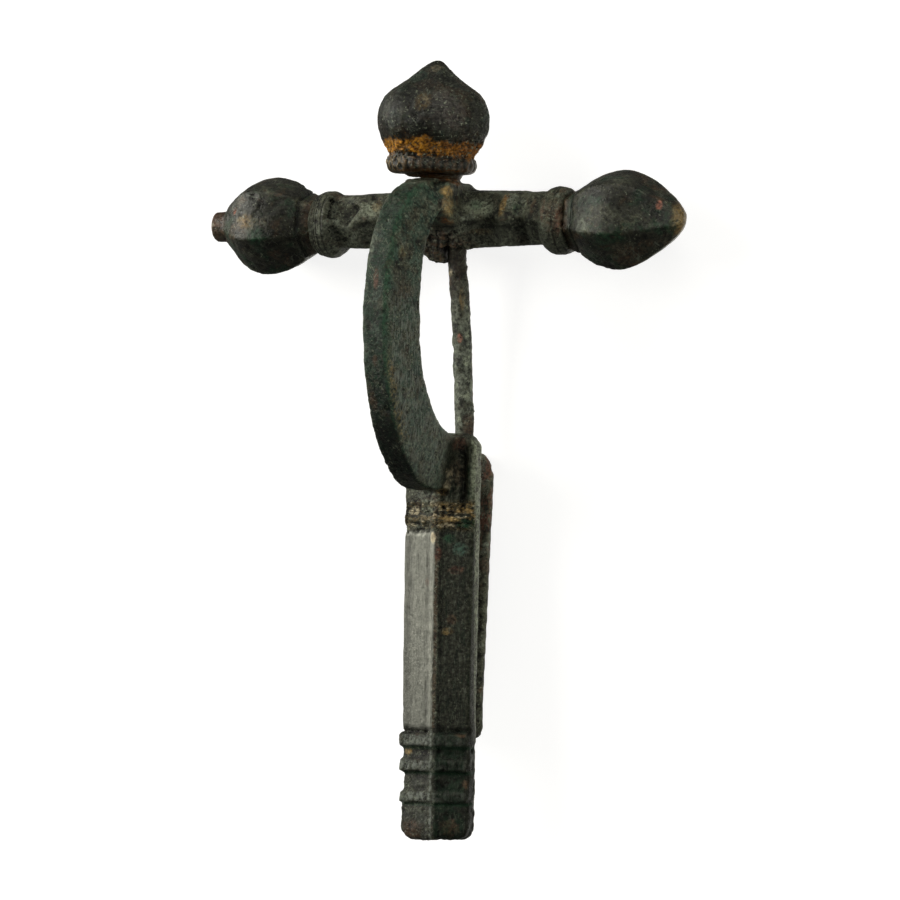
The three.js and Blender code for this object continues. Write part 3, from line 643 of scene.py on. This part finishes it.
BODY_STAINS = [
    # the bow's outer face: brown and soot patches
    ((0.1, 17.2, 21.7), (0.4, 1.4, 2.0), RED_BROWN, 0.85),
    ((-0.6, 12.7, 22.1), (0.35, 0.8, 2.0), SOOT, 0.9),
    ((0.1, 9.0, 21.8), (0.35, 0.8, 2.0), BROWN, 0.8),
    ((-0.6, 5.0, 20.9), (0.5, 1.3, 2.0), BROWN, 0.8),
    ((-0.9, 20.5, 20.5), (0.4, 2.6, 3.0), GREY_GREEN, 0.6),
    # its flank: brown by the head, a violet-brown patch below
    ((1.8, 16.5, 19.0), (0.7, 1.6, 2.0), BROWN, 0.6),
    ((1.8, 20.0, 19.0), (0.4, 0.9, 1.0), OCHRE, 0.3),
    ((1.8, 11.0, 18.5), (0.7, 2.0, 1.2), BROWN, 0.4),
    # head block: amber strip on its right side, rust at its foot and behind it
    ((2.9, 26.4, 10.6), (1.0, 0.8, 1.5), OCHRE, 0.9),
    ((2.7, 25.0, 10.4), (0.35, 1.0, 1.5), CREAM, 0.3),
    ((2.9, 24.8, 10.4), (0.7, 1.3, 1.5), OCHRE, 0.6),
    ((2.3, 23.2, 9.6), (0.7, 0.9, 1.5), RUST, 0.8),
    ((3.0, 27.5, 8.6), (2.6, 0.6, 1.6), RUST, 0.6),
    # arms: pale greens in the hollows, amber and brown on the ribs between them
    ((-7.5, 24.9, 7.1), (1.3, 1.2, 1.5), PALE_GREEN, 0.95),
    ((-7.0, 25.2, 7.1), (0.7, 0.8, 1.5), OCHRE, 0.5),
    ((-9.0, 24.8, 7.1), (0.5, 1.3, 1.5), OLIVE, 0.8),
    ((-10.4, 24.4, 7.0), (0.7, 0.7, 1.5), SOOT, 0.9),
    ((-11.8, 24.8, 7.1), (0.5, 1.0, 1.5), GREY_GREEN, 0.8),
    ((4.8, 24.9, 6.9), (1.9, 1.3, 1.5), PALE_GREEN, 0.95),
    ((13.6, 23.6, 8.2), (1.3, 2.4, 2.0), BROWN, 0.8),
    ((4.3, 25.1, 6.9), (0.9, 0.7, 1.5), BRIGHT_GREEN, 0.5),
    ((5.6, 24.6, 6.9), (0.8, 0.6, 1.5), PALE_GREEN, 0.8),
    ((7.5, 24.9, 7.1), (0.5, 1.4, 1.5), OCHRE, 0.8),
    ((7.7, 25.8, 7.1), (0.5, 0.5, 1.5), RUST, 0.6),
    ((9.0, 24.7, 6.9), (0.6, 0.9, 1.5), BRIGHT_GREEN, 0.5),
    ((9.8, 24.9, 7.1), (0.3, 1.2, 1.5), PALE_GREEN, 0.6),
    ((10.9, 24.8, 7.1), (0.4, 1.2, 1.5), BROWN, 0.8),
    ((12.4, 24.4, 8.2), (0.35, 1.5, 1.5), RED_BROWN, 0.6),
    ((14.3, 23.2, 8.2), (0.3, 1.1, 1.5), CREAM, 0.4),
    ((14.1, 23.4, 8.2), (0.4, 1.8, 1.8), RED_BROWN, 0.85),
    # painted shade: soot bands along the lower rim of the right arm's hollows
    ((3.6, 23.3, 7.2), (1.2, 0.35, 1.5), SOOT, 0.95),
    ((5.8, 22.9, 7.2), (1.6, 0.35, 1.5), SOOT, 0.95),
    ((8.4, 22.8, 7.2), (1.8, 0.35, 1.5), SOOT, 0.9),
    ((10.6, 23.1, 7.2), (1.0, 0.35, 1.5), SOOT, 0.8),
    ((4.6, 22.4, 6.0), (2.0, 0.4, 1.5), OCHRE, 0.3),
    # foot: dirt in the corner below the bow, cream and ochre in the cross band, stains beyond
    ((0.7, -4.3, 8.2), (1.2, 0.7, 1.5), OCHRE, 0.75),
    ((-0.6, -4.9, 7.8), (1.4, 0.4, 1.5), BROWN, 0.8),
    ((1.75, -1.5, 7.6), (0.16, 2.0, 1.5), CREAM, 0.6),
    ((1.5, -3.3, 7.6), (0.2, 1.0, 1.5), CREAM, 0.6),
    ((2.4, -2.4, 7.2), (0.9, 1.9, 1.5), BROWN, 0.5),
    ((2.7, 0.6, 7.2), (0.8, 1.0, 1.5), RED_BROWN, 0.7),
    ((2.5, -5.0, 7.2), (0.5, 0.6, 1.5), SOOT, 0.9),
    ((3.9, -2.8, 6.9), (0.5, 3.4, 1.5), PALE_GREEN, 0.6),
    ((-2.7, -6.3, 6.6), (0.8, 0.5, 1.5), CREAM, 0.9),
    ((-1.0, -6.1, 7.2), (1.0, 0.5, 1.5), PALE_GREEN, 0.8),
    ((2.9, -6.2, 6.6), (1.1, 0.35, 1.5), OCHRE, 0.9),
    ((1.2, -7.7, 7.0), (0.9, 0.3, 1.5), CREAM, 0.7),
    ((3.2, -7.6, 6.7), (1.3, 0.7, 1.5), DEEP_GREEN, 0.95),
    ((1.5, -9.1, 7.4), (0.9, 0.6, 1.5), DEEP_GREEN, 0.95),
    ((2.6, -10.2, 7.2), (1.0, 0.9, 1.5), TEAL, 0.8),
    ((-0.2, -9.0, 7.6), (0.4, 0.7, 1.5), CREAM, 0.75),
    ((-0.2, -8.9, 7.6), (0.4, 0.6, 1.5), RED_BROWN, 0.3),
    ((0.35, -10.7, 7.7), (0.45, 0.9, 1.5), RED_BROWN, 1.0),
    ((2.3, -12.3, 7.3), (1.0, 0.5, 1.5), RED_BROWN, 0.6),
    ((2.1, -12.4, 7.3), (0.5, 0.25, 1.5), SOOT, 0.9),
    ((-0.9, -13.6, 7.3), (0.3, 0.6, 1.5), RED_BROWN, 0.35),
    ((1.9, -17.4, 7.6), (0.6, 0.7, 1.5), BROWN, 0.8),
    ((1.4, -18.6, 7.6), (0.8, 0.5, 1.5), OCHRE, 0.35),
    ((-2.9, -31.0, 7.8), (0.6, 0.5, 1.5), OCHRE, 0.8),
    ((-2.3, -38.9, 8.0), (1.5, 1.2, 1.8), BROWN, 1.0),
    ((2.0, -38.7, 8.0), (1.1, 1.2, 1.8), BROWN, 0.8),
    ((3.4, -34.2, 7.4), (0.5, 0.8, 1.5), BROWN, 0.7),
    ((3.0, -29.3, 7.4), (0.8, 0.3, 1.5), BROWN, 0.9),
]

COLLAR_RINGS = (-12.6, -13.15, -13.45, -13.75, -14.05, 13.45)  # x of the collars' turned lines


def body_material():
    """The body's patina: a green bow; on the foot a filed left slope painted light as a painted
    highlight and a right slope painted dark as painted shade; mottled arms, lightened in front of
    the axle as painted fill light.
    """
    shader = Shader("body_patina")
    color = mottled(shader, SOOT, OLIVE, GREY_GREEN, 1.8)
    before_head = shader.y.rise(BAR_Y + 5.0, BAR_Y + 3.0)
    on_bow = shader.z.rise(FOOT_TOP_Z + 1.6, FOOT_TOP_Z + 3.4) * before_head
    on_foot = shader.y.rise(1.6, 0.4) * (1 - on_bow)
    color = bow_tones(shader, color, on_bow)
    brown = shader.noise(1.5, 6.0, 0.7, offset=(6, 6, 2)).rise(0.55, 0.63)
    color = shader.mix(color, BROWN, brown * (0.7 - on_bow * 0.45))
    # filed is the left slope, painted light in foot_tones as a painted highlight; shaded is the
    # right slope, painted dark there as painted shade
    color, filed, shaded, streaks = foot_tones(shader, color, on_foot)
    # painted fill light: the arms' faces toward the foot, just in front of the axle, are lightened
    # with grey-green
    arm_fill_light = shader.y.rise(BAR_Y + 0.3, BAR_Y - 0.4) * shader.y.rise(BAR_Y - 6, BAR_Y - 4)
    color = shader.mix(color, GREY_GREEN, arm_fill_light * (1 - on_bow) * 0.45)
    laminated = shader.noise(0.4, 6.0, 0.7, stretch=(6, 1, 1), turn=(0, 0, -0.3)).rise(0.42, 0.56)
    hinge = shader.spot(tuple(HINGE_CRUST), (4.4, 2.6, 4.5))
    color = shader.mix(color, shader.mix(SOOT, BROWN, laminated), hinge * 0.95)
    color = patches(shader, color, BODY_STAINS)
    rings = lines_round_axis(shader, COLLAR_RINGS, 0.13)
    color = shader.mix(color, SOOT, rings * 0.6)
    color = shader.weathered_and_shaded(color, 1.2 - filed * 0.9)
    lengthwise = shader.noise(0.2, 4.0, 0.65, stretch=(1, 5, 1), offset=(1, 1, 8))
    color = shader.mix(color, GREY_GREEN, shaded * lengthwise.rise(0.54, 0.66) * 0.35)
    flank = on_bow * shader.x.rise(1.3, 1.6) * shader.y.rise(19, 13)
    color = shader.mix(color, FROSTED, flank * lengthwise.rise(0.47, 0.62) * 0.6)
    color = moulded_tones(shader, color, on_foot)
    color = shader.scratched(color, PALE_GREEN, (1 - filed) * (1 - shaded) * 0.55, CROSSED, 10.0)
    bow_face = on_bow * shader.x.rise(BOW_HALF_WIDTH, 1.1)
    moulded = shader.y.rise(MOULDED_Y, MOULDED_Y - 0.4)
    flecks = (1 - filed) * (1 - shaded * 0.75) * (1 - bow_face * 0.6) * (0.95 - moulded * 0.35)
    # pale flecks: pale corrosion specks, partly painted glints
    color = specks(shader, color, PALE_GREEN, 0.24, 0.11, flecks, (2, 8, 6))
    color = specks(shader, color, SOOT, 0.32, 0.12, flecks, (5, 3, 9))
    roughness = shader.noise(0.9, 6.0, 0.7) * 0.5 + 0.16
    height = (grain_height(shader, 0.45, 0.2) + (shader.fine - 0.5) * 0.08) * (1.1 - filed * 0.9)
    height = height + (streaks - 0.5) * filed * 0.05 - rings * 0.12
    return shader.finish(color, roughness, filed * 0.35 + shaded * 0.5 + 0.1, height, 0.2)


def moulded_tones(shader, color, on_foot):
    """Pale worn crests, mostly on the left-hand half, and a pale spine on the moulded end; dark
    green between its ribs, and over the right-hand half as patina and painted shade.
    """
    moulded = on_foot * shader.y.rise(MOULDED_Y, MOULDED_Y - 0.4)
    worn = shader.noise(0.5, 7.0, 0.75, stretch=(1, 1.6, 1), offset=(5, 5, 5)).rise(0.42, 0.58)
    side = 1 - shader.x.rise(-0.5, 1.0) * 0.8
    # painted shade: dark green laid over the right-hand half, as over the right slope, mixed with
    # green patina
    gloom = shader.x.rise(0.2, 0.6) * shader.x.rise(3.6, 3.3)
    green = shader.noise(0.7, 6.0, 0.7).rise(0.4, 0.6)
    color = shader.mix(color, DEEP_GREEN, moulded * gloom * green * 0.45)
    for rib in HATCHED_RIBS:
        crest = shader.y.between(rib - 0.45, rib + 0.5, 0.15)
        foot = shader.y.between(rib - 0.95, rib - 0.6, 0.15)
        color = shader.mix(color, FROSTED, moulded * crest * worn * side * 0.6)
        color = shader.mix(color, DEEP_GREEN, moulded * foot * 0.7)
    spine = shader.x.between(-0.12, 0.12, 0.1) * worn
    return shader.mix(color, FROSTED, moulded * spine * 0.7)


def bow_tones(shader, color, on_bow):
    """Verdigris bow: dark green outer face, bright green worn edges, grey-green flanks."""
    teal = shader.noise(1.8, 7.0, 0.7, offset=(2, 7, 3)).rise(0.42, 0.54)
    color = shader.mix(color, TEAL, on_bow * teal * 0.65)
    on_crown = shader.z.rise(BOW_CROWN_Z, BOW_CROWN_Z + 2.0)
    outer = shader.x.size().rise(BOW_HALF_WIDTH, 1.1) * on_crown
    deep = shader.noise(1.3, 7.0, 0.7, stretch=(0.7, 1.8, 1)).rise(0.44, 0.54)
    color = shader.mix(color, DEEP_GREEN, on_bow * outer * deep * 0.9)
    toward_foot = shader.y.rise(9.0, 1.0) * shader.x.size().rise(1.5, 1.2)
    green = shader.noise(0.9, 6.0, 0.7, offset=(1, 0, 0)).rise(0.42, 0.56)
    gloom = shader.mix(SOOT, DEEP_GREEN, green)
    color = shader.mix(color, gloom, on_bow * toward_foot * 0.85)
    broken = shader.noise(0.8, 6.0, 0.7, offset=(5, 1, 8)).rise(0.38, 0.52)
    rim = shader.x.between(1.05, 1.4, 0.12) * shader.y.rise(0.5, 4.0)
    color = shader.mix(color, BRIGHT_GREEN, on_bow * rim * broken * 0.6)
    far_rim = shader.x.between(-1.6, -1.15, 0.15)
    color = shader.mix(color, GREY_GREEN, on_bow * far_rim * broken * 0.8)
    ochre = shader.x.between(1.3, 1.55, 0.12) * shader.y.between(1.0, 9.5, 1.0)
    color = shader.mix(color, OCHRE, on_bow * ochre * shader.fine.rise(0.44, 0.56) * 0.4)
    return shader.dimmed(color, on_bow * (toward_foot * 0.45 + outer * 0.3))


def foot_tones(shader, color, on_foot):
    """Filed left slope painted steel grey as a painted highlight, right slope painted dark as
    painted shade, light wall, cream cross band and brown catch.
    """
    filed = on_foot * shader.y.between(MOULDED_Y, BAND_Y - 1.4, 0.3)
    streaks = shader.noise(0.16, 5.0, 0.65, stretch=(1, 18, 1))
    blotch = shader.noise(0.8, 7.0, 0.72, stretch=(0.8, 2.0, 1), offset=(4, 0, 4))
    roof = shader.z.rise(BAR_Z + 0.6, BAR_Z + 1.4)
    ragged = (blotch - 0.5) * 0.6
    # painted highlight: the left slope is painted a light steel grey, fading darker toward its
    # outer edge
    left = filed * roof * (shader.x + ragged).rise(0.12, -0.08)
    highlight_steel = shader.mix(DARK_STEEL, STEEL_GREY, (streaks * 0.45 + blotch * 0.55).rise(0.36, 0.54))
    color = shader.mix(color, highlight_steel, left * 0.95)
    color = shader.dimmed(color, left * (shader.x + ragged).rise(-2.4, -3.4) * 0.45)
    ridge = filed * roof * (shader.x + ragged).between(0.05, 0.4, 0.1)
    color = shader.mix(color, BROWN, ridge * shader.crumbs * 0.7)
    low = (shader.z + ragged * 0.4).rise(WALL_LIGHT_Z + 0.2, WALL_LIGHT_Z - 0.2)
    low_wall = low * shader.x.rise(3.3, 3.6)
    # painted shade: the right slope, away from the key light, is painted dark olive and green and
    # dimmed, less so near the head end
    right = on_foot * shader.z.rise(BAR_Z - 0.4, BAR_Z) * shader.x.rise(0.3, 0.6) * (1 - low_wall)
    level = streaks * 0.35 + blotch * 0.35 + shader.fine * 0.3
    olive = shader.mix(OLIVE, GREY_GREEN, level.rise(0.52, 0.60))
    color = shader.mix(color, shader.mix(DEEP_GREEN, olive, level.rise(0.42, 0.52)), right * 0.85)
    color = shader.dimmed(color, right * (0.66 - shader.y.rise(-7.0, -4.5) * 0.2))
    wall = on_foot * low_wall * shader.z.rise(BAR_Z - 1.2, BAR_Z - 0.6)
    color = shader.mix(color, shader.mix(OLIVE, PALE_GREEN, level.rise(0.42, 0.56)), wall * 0.85)
    band = on_foot * roof * shader.y.between(BAND_Y - 1.1, BAND_Y + 1.5, 0.5)
    dirt = shader.noise(0.7, 8.0, 0.75, stretch=(2.4, 0.7, 1)).rise(0.46, 0.56)
    to_right = shader.x.rise(-3.0, 2.5) * 0.3 + 0.25
    color = shader.mix(color, shader.mix(SOOT, OCHRE, dirt), band * to_right)
    cream = shader.noise(0.45, 8.0, 0.75, stretch=(3, 0.7, 1), offset=(3, 0, 5)).rise(0.54, 0.61)
    color = shader.mix(color, CREAM, band * cream * 0.8)
    lip = on_foot * shader.z.rise(BAR_Z - 1.6, BAR_Z - 2.2)
    scab = shader.noise(0.9, 7.0, 0.7, stretch=(1, 1.8, 1)).rise(0.46, 0.56)
    color = shader.mix(color, RED_BROWN, lip * scab * shader.y.rise(-16, -6) * 0.9)
    toward_end = shader.y.rise(BAND_Y - 10, MOULDED_Y) * 0.2
    at_end = shader.y.rise(MOULDED_Y + 0.5, MOULDED_Y) * 0.4
    return shader.dimmed(color, on_foot * (toward_end + at_end)), left, right, streaks


PIN_STAINS = [
    ((1.3, 11.5, 4.3), (0.4, 0.6, 1.5), COPPER_RED, 0.9),
    ((0.9, 12.6, 4.3), (0.4, 0.8, 1.5), SOOT, 0.9),
    ((1.9, 2.6, 3.4), (0.7, 1.4, 2.0), BROWN, 0.9),
    ((1.9, 0.9, 3.4), (0.9, 0.9, 2.0), BROWN, 0.9),
    ((0.6, 18.2, 5.0), (0.35, 0.5, 1.5), CREAM, 0.5),
    ((0.4, 17.3, 5.0), (0.4, 0.6, 1.5), BROWN, 0.9),
    ((1.7, 15.5, 4.6), (0.3, 1.4, 1.5), OCHRE, 0.45),
]


def pin_material():
    """Pale green pin, brown toward the hinge."""
    shader = Shader("pin_patina")
    color = mottled(shader, OLIVE, GREY_GREEN, PALE_GREEN, 1.3)
    blots = shader.noise(0.9, 5.0, 0.65, stretch=(1, 1.6, 1), offset=(7, 1, 1)).rise(0.53, 0.60)
    color = shader.mix(color, SOOT, blots * 0.8)
    by_hinge = shader.y.rise(12.0, 20.0)
    color = shader.dimmed(shader.mix(color, BROWN, by_hinge * shader.crumbs * 0.7), by_hinge * 0.5)
    color = patches(shader, color, PIN_STAINS)
    color = shader.weathered_and_shaded(color, 0.9)
    color = shader.scratched(color, PALE_GREEN, 0.5, CROSSED[:2], 12.0)
    color = specks(shader, color, SOOT, 0.35, 0.13, 0.85, (5, 3, 9))
    roughness = shader.noise(0.9, 6.0, 0.7) * 0.5 + 0.2
    height = grain_height(shader, 0.4, 0.16) + (shader.fine - 0.5) * 0.05
    return shader.finish(color, roughness, 0.2, height, 0.3)


def axle_material():
    """Rust, for the axle's ends."""
    shader = Shader("axle_rust")
    color = shader.weathered_and_shaded(shader.mix(BROWN, RUST, shader.crumbs))
    return shader.finish(color, 0.8, 0.1, grain_height(shader, 0.3, 0.08), 0.3)


# ---- stage --------------------------------------------------------------------------------
FLOOR_HALF_WIDTH = 1.5  # metres
WARM = (1, 0.98, 0.9)
CAMERA_TILT = math.radians(25)  # from straight down, toward the brooch's right
CAMERA_DISTANCE = 0.6
CAMERA_LENS = 233  # millimetres, for a field 93 mm wide at the brooch
CAMERA_SIDE = 0.0005  # the view's middle lies this far right of the brooch's middle


def floor():
    """White paper, which is see-through from below so that it never hides the brooch."""
    bm = bmesh.new()
    bmesh.ops.create_grid(bm, x_segments=1, y_segments=1, size=FLOOR_HALF_WIDTH)
    mesh = bpy.data.meshes.new("floor")
    bm.to_mesh(mesh)
    bm.free()
    plane = bpy.data.objects.new("floor", mesh)
    bpy.context.scene.collection.objects.link(plane)
    material = bpy.data.materials.new("floor_paper")
    material.use_nodes = True
    tree = material.node_tree
    surface = tree.nodes["Principled BSDF"]
    surface.inputs["Base Color"].default_value = (0.4, 0.4, 0.4, 1)
    surface.inputs["Roughness"].default_value = 0.9
    surface.inputs["Specular IOR Level"].default_value = 0.0
    surface.inputs["Emission Color"].default_value = (1, 1, 1, 1)
    surface.inputs["Emission Strength"].default_value = 0.8
    one_sided = tree.nodes.new("ShaderNodeMixShader")
    links = tree.links
    links.new(tree.nodes.new("ShaderNodeNewGeometry").outputs["Backfacing"], one_sided.inputs[0])
    links.new(surface.outputs[0], one_sided.inputs[1])
    links.new(tree.nodes.new("ShaderNodeBsdfTransparent").outputs[0], one_sided.inputs[2])
    links.new(one_sided.outputs[0], tree.nodes["Material Output"].inputs["Surface"])
    plane.data.materials.append(material)
    plane.visible_glossy = False
    plane.visible_diffuse = False


def softbox(name, direction, distance, size, power):
    """An area light that looks at the brooch from a direction."""
    lamp = bpy.data.lights.new(name, "AREA")
    lamp.shape = "RECTANGLE"
    lamp.size, lamp.size_y = size
    lamp.energy = power
    lamp.color = WARM
    holder = bpy.data.objects.new(name, lamp)
    away = Vector(direction).normalized()
    holder.location = away * distance
    holder.rotation_euler = away.to_track_quat("Z", "Y").to_euler()
    bpy.context.scene.collection.objects.link(holder)


def lights():
    """Softboxes low on either side, one behind, a weak one below, and a dim room."""
    world = bpy.data.worlds.new("room")
    world.use_nodes = True
    world.node_tree.nodes["Background"].inputs["Color"].default_value = (1, 0.99, 0.9, 1)
    world.node_tree.nodes["Background"].inputs["Strength"].default_value = 0.15
    bpy.context.scene.world = world
    softbox("key", (-1.0, 0.35, 0.45), 0.9, (0.6, 0.8), 13)
    softbox("fill", (1.0, 0.1, 0.3), 1.0, (0.5, 0.6), 6)
    softbox("back", (0.1, 1.0, 0.4), 1.0, (0.8, 0.4), 5)
    softbox("bounce", (0.1, -0.1, -1.0), 1.0, (0.8, 0.8), 2)


def camera():
    """Looks down at the brooch, a little from its right."""
    away = Vector((math.sin(CAMERA_TILT), 0, math.cos(CAMERA_TILT)))
    right = Vector((math.cos(CAMERA_TILT), 0, -math.sin(CAMERA_TILT)))
    aim = Vector((0, 0, BAR_Z * MM)) + right * CAMERA_SIDE
    data = bpy.data.cameras.new("camera")
    data.lens = CAMERA_LENS
    holder = bpy.data.objects.new("camera", data)
    holder.matrix_world = Matrix.Translation(aim + away * CAMERA_DISTANCE) @ Matrix(
        (right, Vector((0, 1, 0)), away)
    ).transposed().to_4x4()
    bpy.context.scene.collection.objects.link(holder)
    bpy.context.scene.camera = holder


# ---- the brooch ---------------------------------------------------------------------------
camera()
floor()
lights()
bronze = body_material()
aged_piece("body", "body_skin", BODY_CELL, body_skin, bronze, settle_body)
head = head_material()
neck = drawn_foot(1, HEAD_FOOT_Y, -JOINT_REACH, NECK_RADIUS)
aged_piece("head_knob", "head_knob_skin", HEAD_CELL, head_skin, head, neck)
knobs = knob_material()
joints = (("left", LEFT_HIGH.x, JOINT_REACH), ("right", RIGHT_LOW.x, -JOINT_REACH))
for side, seat, reach in joints:
    node = side + "_knob"
    foot = drawn_foot(0, seat, reach, ARM_RADIUS)
    aged_piece(node, node + "_skin", KNOB_CELL, knob_skin, knobs, foot)
aged_piece("pin", "pin_skin", PIN_CELL, pin_skin, pin_material())
axle = frame["nodes"]["hinge_axle"].data
axle.materials.clear()
axle.materials.append(axle_material())
bpy.context.scene.view_settings.view_transform = "Standard"
